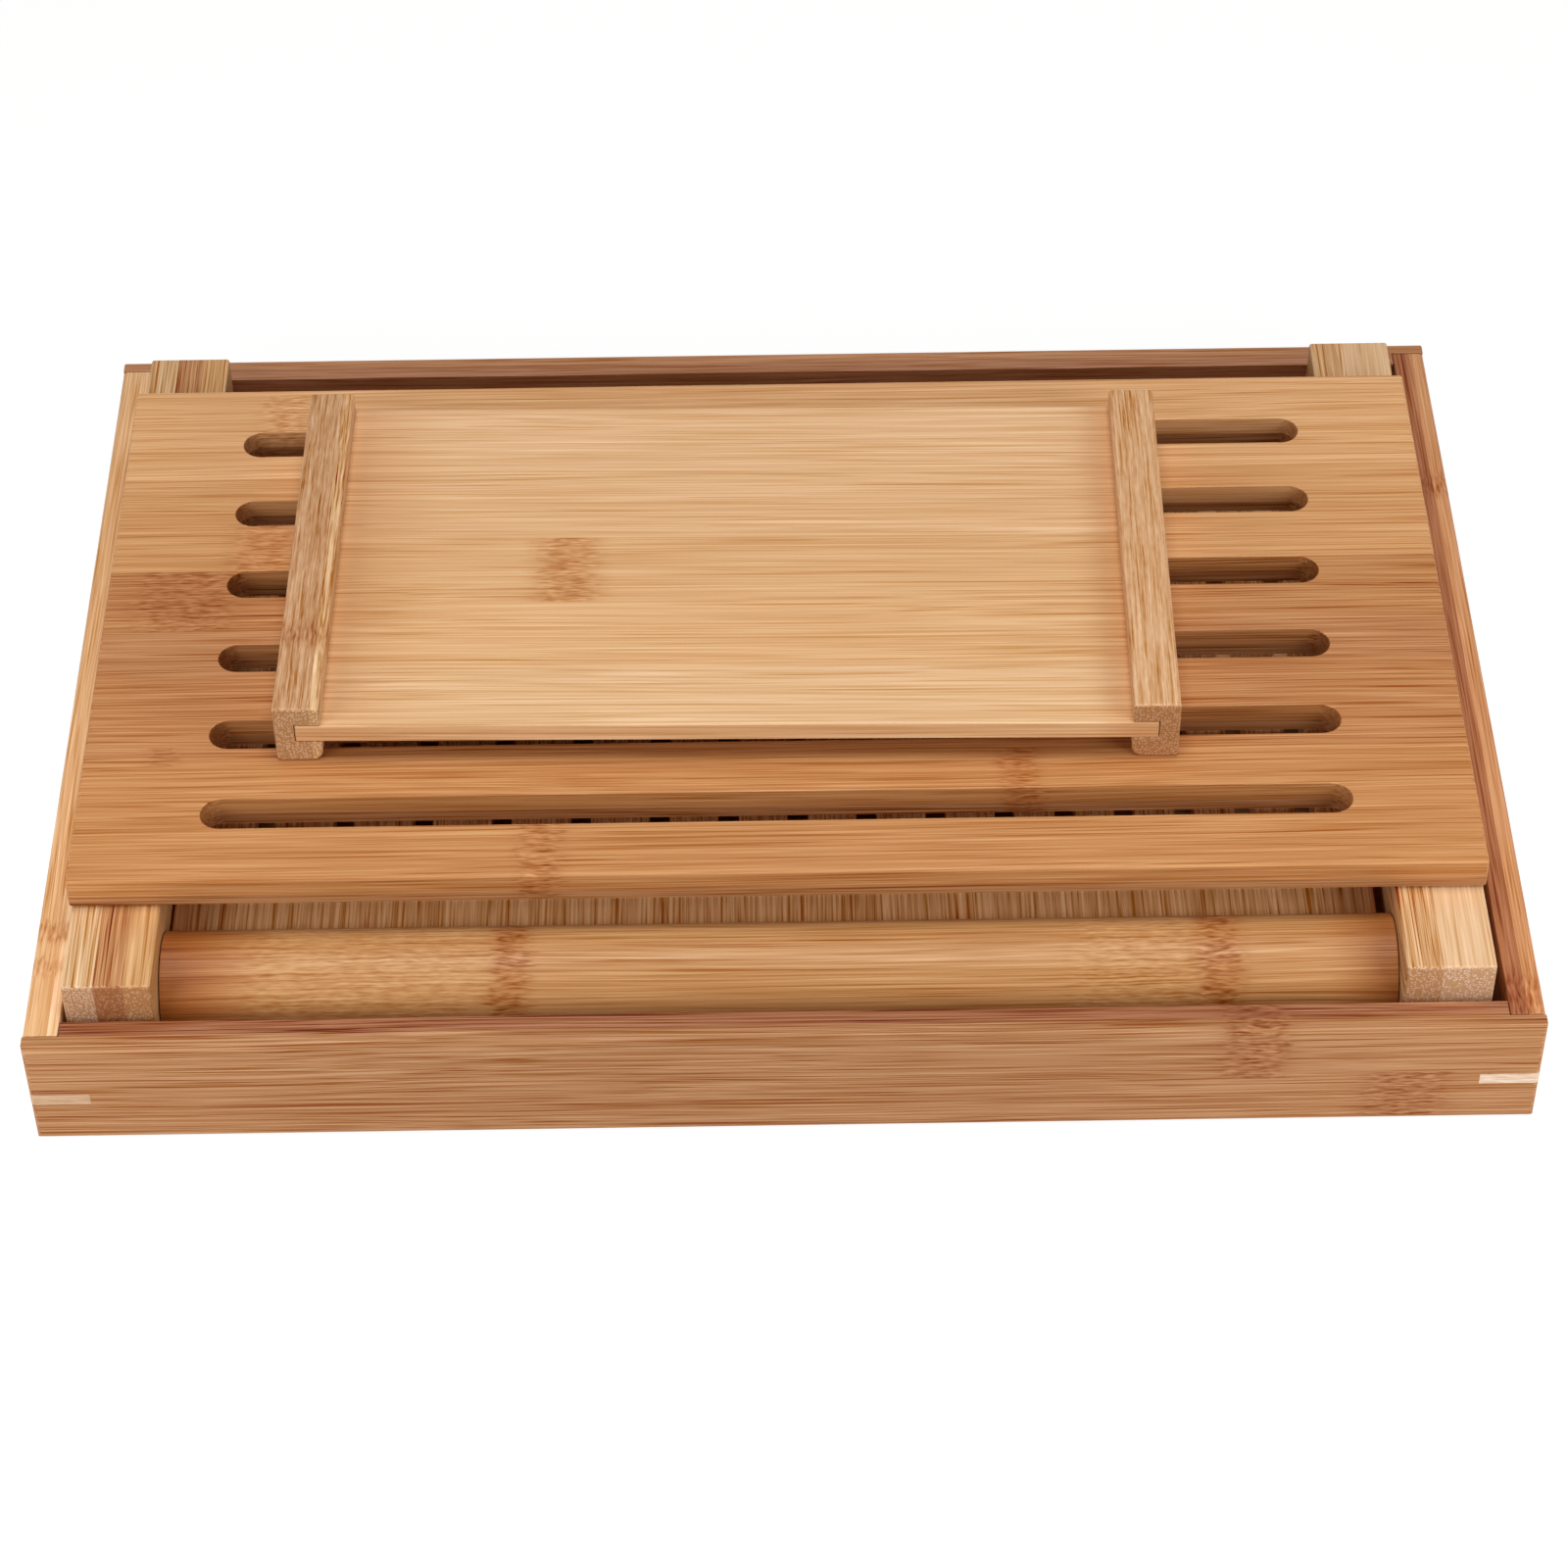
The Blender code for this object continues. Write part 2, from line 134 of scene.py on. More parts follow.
# %% One soft box, aimed at the object
def soft_box(name, azimuth, elevation, distance, size, power):
    """A square lamp aimed at the middle: degrees, metres and watts. Azimuth 0 is the front, 90 the right."""
    turn = math.radians(azimuth)
    tilt = math.radians(elevation)
    away = Vector((math.sin(turn) * math.cos(tilt), -math.cos(turn) * math.cos(tilt), math.sin(tilt)))
    data = bpy.data.lights.new(name, "AREA")
    data.shape = "SQUARE"
    data.size = size
    data.energy = power
    lamp = bpy.data.objects.new(name, data)
    lamp.location = away * distance
    lamp.rotation_euler = away.to_track_quat("Z", "Y").to_euler()
    lamp.visible_camera = False
    bpy.context.scene.collection.objects.link(lamp)


corner_turn = 50.0
corner_rise = 24.0
near = 0.50
near_size = 0.24
right_power = 0.88
left_power = 0.82
overhead_rise = 88.0
far = 1.6
far_size = 0.80
overhead_power = 15.2
soft_box("right_corner_box", corner_turn, corner_rise, near, near_size, right_power)
soft_box("left_corner_box", -corner_turn, corner_rise, near, near_size, left_power)
soft_box("overhead_box", 0.0, overhead_rise, far, far_size, overhead_power)
print("lamps:", len(bpy.data.lights), "corner boxes, mm from the middle:", round(near / mm))

# %% [markdown]
# ## A helper for shader nodes
#
# Every material below is a small network of nodes. One function is enough to add
# any of them: it takes the kind of node, its sockets by name or number, and its
# other settings by name. A socket gets a link if the value is another node's
# output, or else the value itself.

# %% Add one node with its settings and links
def add(tree, kind, sockets=(), out=0, **settings):
    """A new node. Returns one of its outputs, by number or name."""
    node = tree.nodes.new("ShaderNode" + kind)
    for name, value in settings.items():
        setattr(node, name, value)
    for key, value in dict(sockets).items():
        if isinstance(value, bpy.types.NodeSocket):
            tree.links.new(value, node.inputs[key])
        else:
            node.inputs[key].default_value = value
    return node.outputs[out] if node.outputs else None


def linear(code):
    """An sRGB hex colour as the linear values that a shader works in."""
    colour = []
    for place in (0, 2, 4):
        share = int(code[place:place + 2], 16) / 255
        colour.append(share / 12.92 if share <= 0.04045 else ((share + 0.055) / 1.055) ** 2.4)
    return colour + [1.0]


def new_tree(owner):
    """An empty node tree on a material or world."""
    owner.use_nodes = True
    owner.node_tree.nodes.clear()
    return owner.node_tree


# %% [markdown]
# ## The white room and the floor
#
# To the camera and in reflections the room is plain white. For the light it gives,
# it is dimmer, because a white room as bright as the lamps would wash out every
# shadow. The floor works the same way: it bounces light as a pale card does, and
# to the camera it adds a glow that lifts it to white but keeps the shadow. Far
# off, where the lamps no longer reach, the glow alone makes it white.

# %% The world and the floor
room_light = 0.085
floor_code = "D8D6D2"
floor_glow = 0.87
floor_shade_code = "7A7978"
floor_size = 6.0
shadow_reach = 0.4
white_reach = floor_size / 3


def seen_directly(tree):
    """1 for the camera, and for what glossy or clear surfaces show of the room."""
    path = add(tree, "LightPath")
    rays = path.node.outputs
    either = add(tree, "Math", {0: rays["Is Camera Ray"], 1: rays["Is Glossy Ray"]}, operation="MAXIMUM")
    return add(tree, "Math", {0: either, 1: rays["Is Transmission Ray"]}, operation="MAXIMUM")


world = bpy.data.worlds.new("white_room")
bpy.context.scene.world = world
tree = new_tree(world)
dim = add(tree, "Background", {"Color": linear("FFFFFF"), "Strength": room_light})
white = add(tree, "Background", {"Color": linear("FFFFFF"), "Strength": 1.0})
room = add(tree, "MixShader", {0: seen_directly(tree), 1: dim, 2: white})
add(tree, "OutputWorld", {0: room})

floor_paper = bpy.data.materials.new("floor_paper")
tree = new_tree(floor_paper)
card = add(tree, "BsdfDiffuse", {"Color": linear(floor_code)})
shade = add(tree, "BsdfDiffuse", {"Color": linear(floor_shade_code)})
far_off = add(tree, "VectorMath", {0: add(tree, "TexCoord", out="Object")}, out=1, operation="LENGTH")
fading = add(tree, "MapRange", {0: far_off, 1: shadow_reach, 2: white_reach, 3: floor_glow, 4: 1.0})
glow = add(tree, "Emission", {"Color": linear("FFFFFF"), "Strength": fading})
lifted = add(tree, "AddShader", {0: shade, 1: glow})
paper = add(tree, "MixShader", {0: seen_directly(tree), 1: card, 2: lifted})
add(tree, "OutputMaterial", {0: paper})

bm = bmesh.new()
bmesh.ops.create_grid(bm, x_segments=1, y_segments=1, size=floor_size / 2)
floor_mesh = bpy.data.meshes.new("studio_floor")
bm.to_mesh(floor_mesh)
bm.free()
floor_mesh.materials.append(floor_paper)
floor = bpy.data.objects.new("studio_floor", floor_mesh)
bpy.context.scene.collection.objects.link(floor)
floor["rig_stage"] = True

# %% [markdown]
# ## Laminated bamboo
#
# A bamboo board is glued up from strips about 20 mm wide, split from the culm and
# planed. Each strip has its own tone. Inside a strip the fibres run straight and
# long, as thin darker lines on a honey ground, and every 200 to 300 mm they cross
# a knot, where they break into short flecks on a reddish stain. Cut across, the
# same fibres are dots.
#
# An image would show the grain of one face only. A solid pattern, worked out in
# the piece's own space, runs through the wood instead: it draws lines along the
# grain and dots on the end grain, and the edges match the faces. All lengths in
# it are millimetres along, across and above the grain.

# %% Grain space: millimetres along, across and above the grain
def grain_space(tree, centre, turn):
    """The object's own coordinates, moved to a centre and turned, in millimetres."""
    place = add(tree, "TexCoord", out="Object")
    return add(
        tree,
        "Mapping",
        {
            "Vector": place,
            "Location": [size * mm for size in centre],
            "Rotation": (0.0, 0.0, math.radians(turn)),
            "Scale": (mm, mm, mm),
        },
        vector_type="TEXTURE",
    )


# Each pattern of streaks: its run and its thickness in mm, its strength, a seed that
# keeps it apart from the others, and its detail. The thinnest fibres of real bamboo
# are finer than these, and wouldn't show from this far. Noise stays close to its
# middle value, so a swing spreads it to about -1 to 1.
noise_swing = 6.0
noise_roughness = 0.55
broad_streaks = (90.0, 3.0, 0.25, 0.0, 2.0)
medium_streaks = (50.0, 0.9, 0.42, 3.0, 2.0)
fine_streaks = (28.0, 0.38, 0.95, 5.0, 2.0)
fibre_lines = (28.0, 0.48, 1.0, 11.0, 1.0)


def streaks(tree, space, pattern, length=1.0, coarse=1.0):
    """Soft streaks of one pattern, as a signed amount about zero."""
    run, thick, strength, seed, detail = pattern
    stretch = (1.0 / (run * length), 1.0 / (thick * coarse), 1.0 / (thick * coarse))
    scaled = add(tree, "VectorMath", {0: space, 1: stretch, 2: (seed, seed, seed)}, operation="MULTIPLY_ADD")
    texture = {"Vector": scaled, "Scale": 1.0, "Detail": detail, "Roughness": noise_roughness}
    noise = add(tree, "TexNoise", texture)
    swing = noise_swing * strength
    return add(tree, "Math", {0: noise, 1: swing, 2: -swing / 2}, operation="MULTIPLY_ADD")


print("the finest streaks are", fine_streaks[1], "mm thick and about", fine_streaks[0], "mm long")

# %% Strips and plies
strip_shift = 61.7
ply_shift = 37.3
seam_half_width = 0.12


def laminate(tree, split, strips, plies):
    """Each strip's tone and vigour of streaks, the shift that breaks the grain, and the glue lines."""
    across = split[1]
    up = split[2]
    tone = linear(strips[0][1])
    vigour = strips[0][2]
    shift = 0.0
    seam = 0.0
    for edge, code, strength in strips[1:]:
        beyond = add(tree, "Math", {0: across, 1: edge}, operation="GREATER_THAN")
        tone = add(tree, "Mix", {0: beyond, 6: tone, 7: linear(code)}, out=2, data_type="RGBA")
        vigour = add(tree, "Mix", {0: beyond, 2: vigour, 3: strength}, data_type="FLOAT")
        shift = add(tree, "Math", {0: beyond, 1: strip_shift, 2: shift}, operation="MULTIPLY_ADD")
        close = add(tree, "Math", {0: across, 1: edge, 2: seam_half_width}, operation="COMPARE")
        seam = add(tree, "Math", {0: seam, 1: close}, operation="MAXIMUM")
    for edge, code, strength in plies:
        below = add(tree, "Math", {0: up, 1: edge}, operation="LESS_THAN")
        tone = add(tree, "Mix", {0: below, 6: tone, 7: linear(code)}, out=2, data_type="RGBA")
        vigour = add(tree, "Mix", {0: below, 2: vigour, 3: strength}, data_type="FLOAT")
        shift = add(tree, "Math", {0: below, 1: ply_shift, 2: shift}, operation="MULTIPLY_ADD")
    return tone, vigour, shift, seam


print("the grain jumps", strip_shift, "mm from strip to strip")

# %% Knots
# Shares of a knot's width at which its flecks and its stain start to fade and end,
# and the streaks that make its outline ragged. A patch of painted shadow fades and
# frays in the same way.
fleck_fade = (0.30, 0.62)
stain_and_shadow_fade = (0.15, 0.85)
ragged_streaks = (30.0, 0.9, 1.6, 17.0, 2.0)


def patch(tree, off, width, fade, inside):
    """1 in the middle of a knot and inside its strip, fading to 0 at its sides; a patch of painted shadow
    works the same way.
    """
    limits = {0: off, 1: fade[0] * width, 2: fade[1] * width, 3: 1.0, 4: 0.0}
    middle = add(tree, "MapRange", limits, interpolation_type="SMOOTHSTEP")
    return add(tree, "Math", {0: middle, 1: inside}, operation="MULTIPLY")


def knot_and_painted_shade_field(tree, space, split, knots_and_painted_shade):
    """How much of a knot there is at a point, as its flecks and as its brown stain. Some entries are no
    knots but painted shadow, drawn with the same brown.
    """
    along, across, up = split
    flecks = 0.0
    stain_and_shadow = 0.0
    ragged = streaks(tree, space, ragged_streaks)
    for side, middle, width, low, high, fleck_share, stain_and_shadow_share in knots_and_painted_shade:
        off = add(tree, "Math", {0: along, 1: -middle}, operation="ADD")
        off = add(tree, "Math", {0: off, 1: ragged}, operation="ADD")
        off = add(tree, "Math", {0: off}, operation="ABSOLUTE")
        reach = across if side == "across" else up
        above = add(tree, "Math", {0: reach, 1: low}, operation="GREATER_THAN")
        inside = add(tree, "Math", {0: reach, 1: high}, operation="LESS_THAN")
        inside = add(tree, "Math", {0: above, 1: inside}, operation="MULTIPLY")
        core = patch(tree, off, width, fleck_fade, inside)
        halo = patch(tree, off, width, stain_and_shadow_fade, inside)
        flecks = add(tree, "Math", {0: core, 1: fleck_share, 2: flecks}, operation="MULTIPLY_ADD")
        stain_and_shadow = add(tree, "Math", {0: halo, 1: stain_and_shadow_share, 2: stain_and_shadow}, operation="MULTIPLY_ADD")
    return flecks, stain_and_shadow


print("a knot's outline strays by up to about", ragged_streaks[2], "mm")

# %% Long streaks on the faces, and dots on the end grain
# Only the crests of the lines' pattern draw a dark fibre, and only its dips a pale
# one. Each range is written as from low, high to low, high. On the end grain the
# bundles of fibre are dots, which hardly change along the grain.
dark_range = {1: 0.40, 2: 0.9, 3: 0.0, 4: 1.4}
pale_range = {1: -0.9, 2: -0.45, 3: -0.8, 4: 0.0}
bundle_spacing = 0.65
bundle_disorder = 0.6
bundle_range = {1: 0.15, 2: 0.55, 3: -1.0, 4: 1.9}
end_stretch = 0.01


def grain(tree, space, coarse, length):
    """Streaks of three sizes, thin dark lines and thin pale ones, summed; and the finest alone."""
    broad = streaks(tree, space, broad_streaks, length, coarse)
    medium = streaks(tree, space, medium_streaks, length, coarse)
    fine = streaks(tree, space, fine_streaks, length, coarse)
    line = streaks(tree, space, fibre_lines, length, coarse)
    dark_line = add(tree, "MapRange", {0: line, **dark_range})
    pale_line = add(tree, "MapRange", {0: line, **pale_range})
    total = broad
    for part in (medium, fine, dark_line, pale_line):
        total = add(tree, "Math", {0: total, 1: part}, operation="ADD")
    return total, fine


def end_grain(tree, space):
    """The cut bundles of fibres: pale dots in a darker ground."""
    density = 1.0 / bundle_spacing
    dots = add(tree, "VectorMath", {0: space, 1: (end_stretch, density, density)}, operation="MULTIPLY")
    dots = add(tree, "TexVoronoi", {"Vector": dots, "Scale": 1.0, "Randomness": bundle_disorder})
    return add(tree, "MapRange", {0: dots, **bundle_range})


print("bundles of fibre on the end grain, mm apart:", bundle_spacing)

# %% The bamboo material
# The grain waves slowly along the whole piece and curls at a knot. A knot's flecks
# are short, and they calm the long streaks. Bamboo that is only sanded and oiled
# glints less than varnish, hence the low gloss. A cut tint above 1 pales a piece's end
# grain, and one below 1 darkens it. The two shades say how much of the red,
# green and blue a dark line takes away, and a knot's stain and painted shadow alike:
# the blue goes first, so bamboo darkens towards orange brown.
wave_streaks = (160.0, 20.0, 0.5, 2.0, 1.0)
curl_streaks = (8.0, 5.0, 0.25, 7.0, 1.0)
fleck_streaks = (3.4, 0.55, 2.6, 13.0, 1.0)
knot_calm = 0.5
seam_dark = 0.5
cut_range = {1: 0.6, 2: 0.9, 3: 0.0, 4: 1.0}
rough_swing = 0.05
bump_strength = 0.4
bump_height = 0.05 * mm
gloss = 0.3
untinted = (1.0, 1.0, 1.0)
dark_shade = (-0.13, -0.215, -0.34)
knot_and_shadow_tint = (-0.21, -0.37, -0.50)


def bamboo(
    name,
    strips,
    plies=(),
    knots_and_painted_shade=(),
    centre=(0.0, 0.0, 0.0),
    turn=0.0,
    contrast=1.0,
    coarse=1.0,
    length=1.0,
    flecked=0.0,
    cut_tint=(1.02, 1.09, 1.25),
    roughness=0.52,
):
    """Laminated bamboo, planed, sanded and oiled; its grain runs along the turned X."""
    material = bpy.data.materials.new(name)
    tree = new_tree(material)
    space = grain_space(tree, centre, turn)
    split = add(tree, "SeparateXYZ", {0: space}).node.outputs
    tone, vigour, shift, seam = laminate(tree, split, strips, plies)
    flecks, stain_and_shadow = knot_and_painted_shade_field(tree, space, split, knots_and_painted_shade)
    flecks = add(tree, "Math", {0: flecks, 1: flecked}, operation="MAXIMUM")

    wave = streaks(tree, space, wave_streaks)
    curl = streaks(tree, space, curl_streaks)
    aside = add(tree, "Math", {0: curl, 1: flecks, 2: wave}, operation="MULTIPLY_ADD")
    aside = add(tree, "Math", {0: aside, 1: shift}, operation="ADD")
    bend = add(tree, "CombineXYZ", {0: shift, 1: aside, 2: aside})
    space = add(tree, "VectorMath", {0: space, 1: bend}, operation="ADD")

    streaked, fine = grain(tree, space, coarse, length)
    kept = add(tree, "Math", {0: flecks, 1: -knot_calm * contrast, 2: contrast}, operation="MULTIPLY_ADD")
    kept = add(tree, "Math", {0: kept, 1: vigour}, operation="MULTIPLY")
    dark = add(tree, "Math", {0: streaked, 1: kept}, operation="MULTIPLY")
    fleck = streaks(tree, space, fleck_streaks)
    dark = add(tree, "Math", {0: fleck, 1: flecks, 2: dark}, operation="MULTIPLY_ADD")
    dark = add(tree, "Math", {0: seam, 1: seam_dark, 2: dark}, operation="MULTIPLY_ADD")

    # A face that looks along the grain shows the cut ends of the fibres.
    facing = add(tree, "TexCoord", out="Normal")
    facing = add(tree, "Mapping", {0: facing, 2: (0.0, 0.0, math.radians(turn))}, vector_type="TEXTURE")
    facing = add(tree, "SeparateXYZ", {0: facing})
    facing = add(tree, "Math", {0: facing}, operation="ABSOLUTE")
    end = add(tree, "MapRange", {0: facing, **cut_range})
    dark = add(tree, "Mix", {0: end, 2: dark, 3: end_grain(tree, space)}, data_type="FLOAT")

    tinting = {"out": 2, "data_type": "RGBA", "blend_type": "MULTIPLY"}
    shade = add(tree, "VectorMath", {0: dark, 1: dark_shade, 2: untinted}, operation="MULTIPLY_ADD")
    colour = add(tree, "Mix", {0: 1.0, 6: tone, 7: shade}, **tinting)
    colour = add(tree, "Mix", {0: end, 6: colour, 7: cut_tint + (1.0,)}, **tinting)
    if knots_and_painted_shade:
        browned = add(tree, "VectorMath", {0: stain_and_shadow, 1: knot_and_shadow_tint, 2: untinted}, operation="MULTIPLY_ADD")
        colour = add(tree, "Mix", {0: 1.0, 6: colour, 7: browned}, **tinting)
    rough = add(tree, "Math", {0: dark, 1: rough_swing, 2: roughness}, operation="MULTIPLY_ADD")
    bump = add(tree, "Bump", {"Strength": bump_strength, "Distance": bump_height, "Height": fine})
    surface = {"Base Color": colour, "Roughness": rough, "Specular IOR Level": gloss, "Normal": bump}
    add(tree, "OutputMaterial", {0: add(tree, "BsdfPrincipled", surface)})
    return material


print("a knot's flecks are", fleck_streaks[0], "by", fleck_streaks[1], "mm")

# %% [markdown]
# ## One finish for each piece
#
# Each strip is written as the place where it starts, across the grain, with its
# own tone and the vigour of its streaks; each knot as the side on which it lies,
# its place, its width and the strip it is in, then how flecked and how stained
# it is. Places and widths are millimetres, judged from the photograph. A piece that
# lies across the tray has its grain turned with it. A few entries in the knot lists
# are painted shadow of the rails, written in the same way, with their stain as the
# painted shadow.

# %% From edge to edge
# A strip that starts at the first place, or a knot between the first place and the
# last, takes in the whole piece.
first = -200.0
last = 200.0
print("a pattern without edges runs from", first, "to", last, "mm")

# %% The slotted board
# Seven edge-glued strips of caramelised bamboo: warm orange brown, with one redder
# strip and a darker underside ply, and knots that never line up.
board_wood = bamboo(
    "board_caramel_bamboo_edge_glued",
    [
        (first, "C68952", 1.15),
        (-52.0, "C58851", 1.15),
        (-44.0, "BC7E4A", 1.35),
        (-17.0, "BA7D4C", 1.4),
        (-3.0, "BF824D", 1.5),
        (17.0, "D59B64", 0.9),
        (48.8, "E2AA74", 0.9),
    ],
    plies=[(40.6, "B27C4F", 1.65)],
    knots_and_painted_shade=[
        ("across", -115.4, 11.0, 65.0, 79.0, 0.5, 0.3),
        ("across", -118.0, 14.0, 17.0, 33.0, 0.5, 0.7),
        ("across", -134.0, 22.0, -3.0, 17.0, 0.7, 0.5),
        ("across", -133.0, 60.0, 1.0, 16.0, 0.0, 0.35),
        ("across", -134.0, 7.0, -46.0, -40.0, 0.4, 0.5),
        ("across", -51.7, 9.0, -81.0, -65.0, 0.7, 0.6),
        ("across", 52.2, 8.0, -59.0, -44.0, 0.7, 0.8),
    ],
    contrast=1.05,
    length=1.7,
)

# %% The pusher's panel
# Natural bamboo, not steamed: pale honey, the lightest large surface. Beside its
# rails it is painted a little browner: painted shadow of the rails.
pusher_centre = (-10.75, 7.0, 0.0)
pusher_turn = -0.8
panel_wood = bamboo(
    "panel_natural_bamboo_edge_glued",
    [
        (first, "EABC8B", 1.0),
        (-34.0, "E5B27D", 1.0),
        (-13.4, "E2AF7A", 1.0),
        (7.8, "E7B684", 1.0),
        (29.7, "EABA89", 1.0),
    ],
    knots_and_painted_shade=[
        ("across", -36.2, 13.0, -13.4, 7.8, 0.55, 0.95),
        # These two are no knots: painted shadow of the rails on the panel beside them.
        ("across", -92.0, 36.0, first, last, 0.0, 0.45),
        ("across", 92.0, 18.0, first, last, 0.0, 0.7),
    ],
    centre=pusher_centre,
    turn=pusher_turn,
    contrast=0.85,
    length=2.0,
)

# %% The tray's walls
# Caramelised bamboo planed thin. The front wall is red brown with crowded fine
# streaks, a darker inner ply and a lighter lower half. The left one is pale, the back
# one plain red brown, and the right one has a dark inner ply.
across_x = 90.0
front_wood = bamboo(
    "front_wall_caramel_bamboo",
    [(first, "AB764A", 1.2), (-108.9, "985E3A", 1.7)],
    plies=[(28.2, "C18858", 1.0)],
    knots_and_painted_shade=[("up", 99.0, 13.0, 13.7, 40.0, 0.8, 0.8), ("up", 131.5, 18.0, 1.0, 15.0, 0.7, 0.7)],
    contrast=1.75,
    length=1.8,
    coarse=0.75,
)
back_wood = bamboo(
    "back_wall_caramel_bamboo",
    [(first, "AC7450", 1.0), (108.9, "B87F55", 1.0)],
    contrast=1.3,
)
left_wood = bamboo(
    "left_wall_pale_bamboo",
    [(first, "EABE90", 0.9), (154.8, "DFAD7A", 1.1)],
    knots_and_painted_shade=[("across", -79.0, 5.0, 100.0, last, 0.7, 0.8), ("across", -89.0, 5.0, 100.0, last, 0.5, 0.5)],
    turn=across_x,
)
right_wood = bamboo(
    "right_wall_caramel_bamboo",
    [(first, "CC9060", 1.0), (-156.4, "A2643D", 1.4)],
    knots_and_painted_shade=[
        ("across", 60.0, 8.0, first, 0.0, 0.7, 0.8),
        ("across", -104.0, 12.0, -160.0, -150.0, 0.8, 0.9),
    ],
    turn=across_x,
    contrast=1.2,
)

# %% The tray's floor and its corner keys
# The floor is a plain panel in the shade. The keys are slips of pale end grain let
# into saw cuts; the left one is browner, as if it had taken more oil.
floor_wood = bamboo(
    "tray_floor_bamboo",
    [(first, "C89868", 1.0), (-40.0, "C49264", 1.0), (40.0, "CC9C6C", 1.0)],
)
key_grain = {"contrast": 0.8, "coarse": 0.8, "length": 0.2}
left_key_wood = bamboo("left_keys_pale_bamboo", [(first, "D8AF8A", 1.0)], **key_grain)
right_key_wood = bamboo("right_keys_pale_bamboo", [(first, "F5D8BD", 1.0)], **key_grain)

# %% The frame's rails and ties
# Three plies stand on edge in the left rail: pale, red brown with strong streaks,
# and golden. The right rail is pale outside and brown-streaked inside. The ties and
# dowels, which hardly show, are plain straight-grained bamboo.
left_rail_wood = bamboo(
    "left_rail_laminated_bamboo",
    [(first, "CE9B66", 1.2), (138.6, "B77E4F", 2.5), (144.8, "D5AA7C", 1.5)],
    cut_tint=(1.02, 1.09, 1.50),
    turn=across_x,
)
right_rail_wood = bamboo(
    "right_rail_laminated_bamboo",
    [(first, "DFB589", 0.7), (-138.4, "CF9E6D", 2.0)],
    cut_tint=(1.10, 1.26, 1.86),
    turn=across_x,
)
tie_wood = bamboo("tie_bamboo", [(first, "C89868", 1.0)])
dowel_wood = bamboo("turned_dowel_bamboo", [(first, "D2A87C", 1.0)], contrast=0.5)

# %% The bar and the comb
# The bar is turned from one laminated blank, so each knot runs round it. Fine flecks
# lie on the left of each. Both ends are painted browner: painted shadow of the rails,
# which stand above the bar's ends. The comb's streaks run along its slots.
bar_wood = bamboo(
    "bar_turned_bamboo",
    [(first, "BE8954", 1.0)],
    knots_and_painted_shade=[
        ("across", -58.0, 8.0, first, 0.0, 0.8, 1.0),
        ("across", -90.0, 58.0, first, 0.0, 0.34, 0.0),
        ("across", 92.5, 9.0, first, 0.0, 0.8, 1.0),
        ("across", 76.0, 32.0, first, 0.0, 0.34, 0.0),
        # These two are no knots: painted shadow of the rails on the bar's ends.
        ("across", -134.0, 34.0, first, 0.0, 0.0, 1.5),
        ("across", 132.0, 24.0, first, 0.0, 0.0, 1.2),
    ],
    contrast=1.15,
    length=1.6,
    roughness=0.45,
)
comb_wood = bamboo("comb_sawn_bamboo", [(first, "F0B87C", 1.0)], turn=across_x, contrast=1.6)

# %% The pusher's rails
# Coarse strips with short streaks. The left one is greyish brown with a warmer
# inner third, the right one golden brown.
pusher_left_wood = bamboo(
    "pusher_left_rail_coarse_bamboo",
    [(first, "D6A674", 1.6), (90.0, "C79569", 1.2)],
    knots_and_painted_shade=[("across", -29.0, 7.0, 86.0, 100.0, 0.7, 0.8)],
    turn=across_x + pusher_turn,
    centre=pusher_centre,
    cut_tint=(1.10, 1.33, 1.74),
    length=0.55,
    flecked=0.25,
    contrast=1.3,
)
pusher_right_wood = bamboo(
    "pusher_right_rail_coarse_bamboo",
    [(first, "D8A677", 1.0)],
    cut_tint=(0.82, 0.82, 0.90),
    turn=across_x + pusher_turn,
    centre=pusher_centre,
    length=0.7,
    flecked=0.2,
    contrast=1.3,
)
print("materials:", len(bpy.data.materials))

# %% [markdown]
# ## Fine edges
#
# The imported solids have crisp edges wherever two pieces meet. Real wood is sanded,
# so each edge catches a thin line of light, and the tray's outer corners, which a
# hand holds, are rounded by about a millimetre. Each visible piece is replaced by
# a copy of its own solid: the loose triangles are merged, flat faces become single
# faces again, the tray's outer edges are rounded and the others get a fine bevel.

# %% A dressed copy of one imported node
flat_angle = math.radians(0.5)
keen_angle = math.radians(35.0)
weld = 0.002 * mm
outer_slack = 0.05 * mm
outer_round = 1.0 * mm
round_steps = 4
edge_steps = 2


def outer_edge(edge):
    """True on the tray's vertical corners and around its foot."""
    low, high = cad_box
    planes = 0
    sides = ((0, low[0]), (0, high[0]), (1, low[1]), (1, high[1]), (2, low[2]))
    for axis, limit in sides:
        if all(abs(corner.co[axis] - limit) < outer_slack for corner in edge.verts):
            planes += 1
    return planes > 1


def sand(bm, edges, width, segments):
    """Bevel some edges by a width, as sanding does."""
    bmesh.ops.bevel(
        bm,
        geom=edges,
        offset=width,
        segments=segments,
        profile=0.5,
        affect="EDGES",
        material=-1,
        clamp_overlap=True,
    )


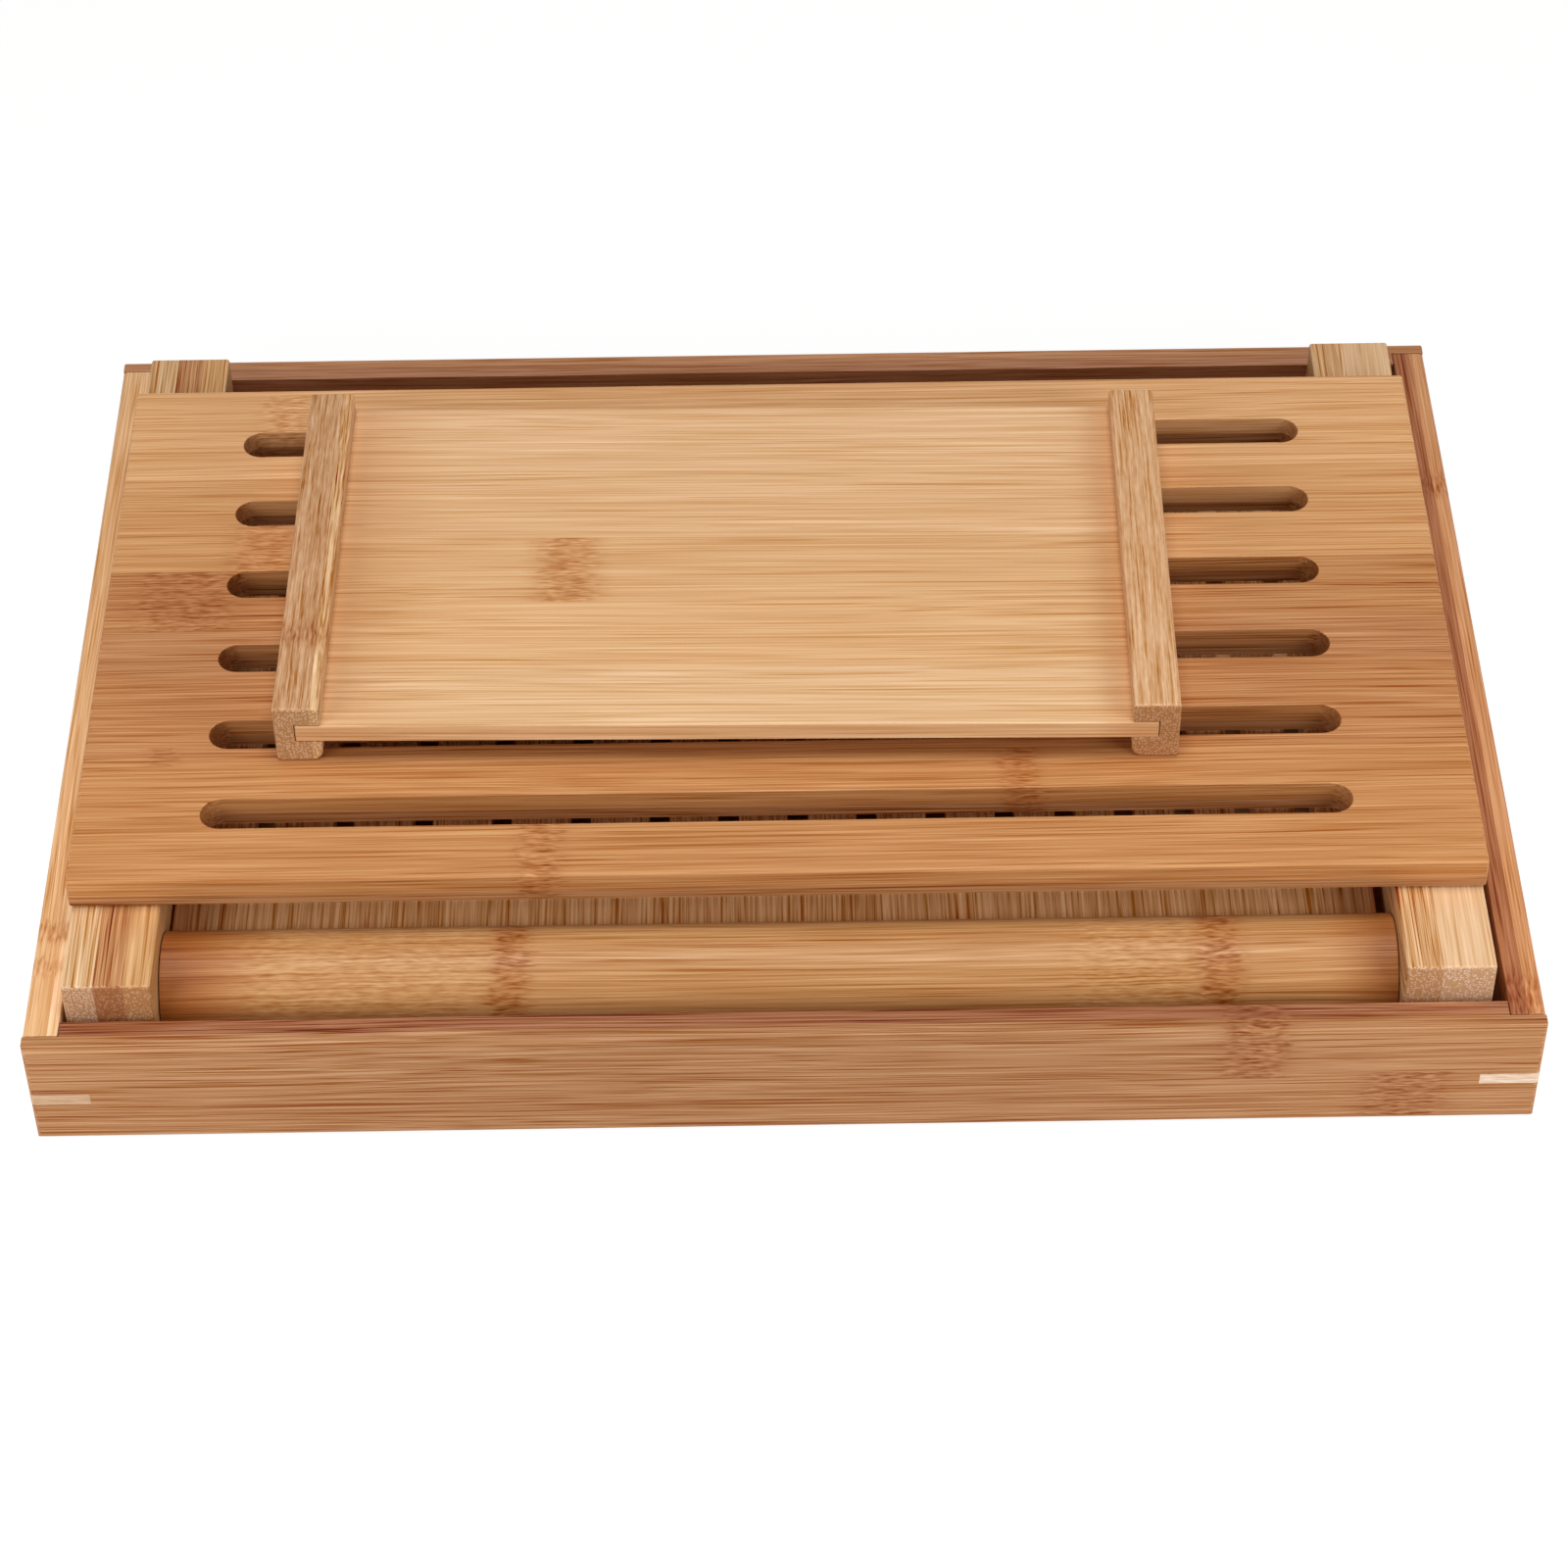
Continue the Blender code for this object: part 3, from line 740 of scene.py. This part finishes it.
def dressed(node, material, width):
    """A copy of one node's solid with worked edges, which rides with it and stands for it."""
    bm = bmesh.new()
    bm.from_mesh(nodes[node].data)
    bmesh.ops.remove_doubles(bm, verts=bm.verts, dist=weld)
    bmesh.ops.dissolve_limit(bm, angle_limit=flat_angle, verts=bm.verts, edges=bm.edges)
    sand(bm, [edge for edge in bm.edges if outer_edge(edge)], outer_round, round_steps)
    shared = [edge for edge in bm.edges if edge.is_manifold]
    sand(bm, [edge for edge in shared if edge.calc_face_angle() > keen_angle], width, edge_steps)
    mesh = bpy.data.meshes.new(node + "_finish")
    bm.to_mesh(mesh)
    bm.free()
    mesh.shade_smooth()
    mesh.set_sharp_from_angle(angle=keen_angle)
    mesh.materials.append(material)
    piece = bpy.data.objects.new(node + "_finish", mesh)
    bpy.context.scene.collection.objects.link(piece)
    flat = piece.modifiers.new("flat_faces", "WEIGHTED_NORMAL")
    flat.keep_sharp = True
    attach(piece, nodes[node]["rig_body"])
    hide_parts(node)
    return piece


# %% Which finish goes on which node
sanded = 0.25 * mm
turned = 0.10 * mm
woods = {
    "tray_front_wall": (front_wood, "tray_walls", sanded),
    "tray_back_wall": (back_wood, "tray_walls", sanded),
    "tray_left_wall": (left_wood, "tray_walls", sanded),
    "tray_right_wall": (right_wood, "tray_walls", sanded),
    "tray_floor": (floor_wood, "tray_floor", sanded),
    "rail_left": (left_rail_wood, "rails", sanded),
    "rail_right": (right_rail_wood, "rails", sanded),
    "tie_middle": (tie_wood, "ties", sanded),
    "tie_rear": (tie_wood, "ties", sanded),
    "guide_bar": (bar_wood, "bar", turned),
    "guide_comb": (comb_wood, "comb", turned),
    "slotted_board": (board_wood, "board", sanded),
    "pusher_panel": (panel_wood, "pusher_panel", sanded),
    "pusher_rail_left": (pusher_left_wood, "pusher_rails", sanded),
    "pusher_rail_right": (pusher_right_wood, "pusher_rails", sanded),
}
for node in nodes:
    if node.startswith("corner_key"):
        key_wood = left_key_wood if "left" in node else right_key_wood
        woods[node] = (key_wood, "corner_keys", turned)

for node, (material, slot, width) in woods.items():
    piece = dressed(node, material, width)
    print(node, "faces:", len(piece.data.polygons))

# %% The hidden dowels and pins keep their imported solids
kept = 0
for node, obj in nodes.items():
    if node not in woods:
        kept += 1
        for place in range(len(obj.data.materials)):
            obj.data.materials[place] = dowel_wood
print("pieces left as packed, with the dowel's finish:", kept)

# %% [markdown]
# ## Picture settings and sizes
#
# The plain Standard view shows each colour as it is written. The last line prints how
# far the dressed pieces lie inside the imported box at its low corner, along each axis.

# %% Finish
bpy.context.scene.view_settings.view_transform = "Standard"
dressed_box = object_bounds()
outside = [round((high - low) / mm, 3) for low, high in zip(cad_box[0], dressed_box[0])]
print("room inside the packed box at its low corner, mm:", outside)
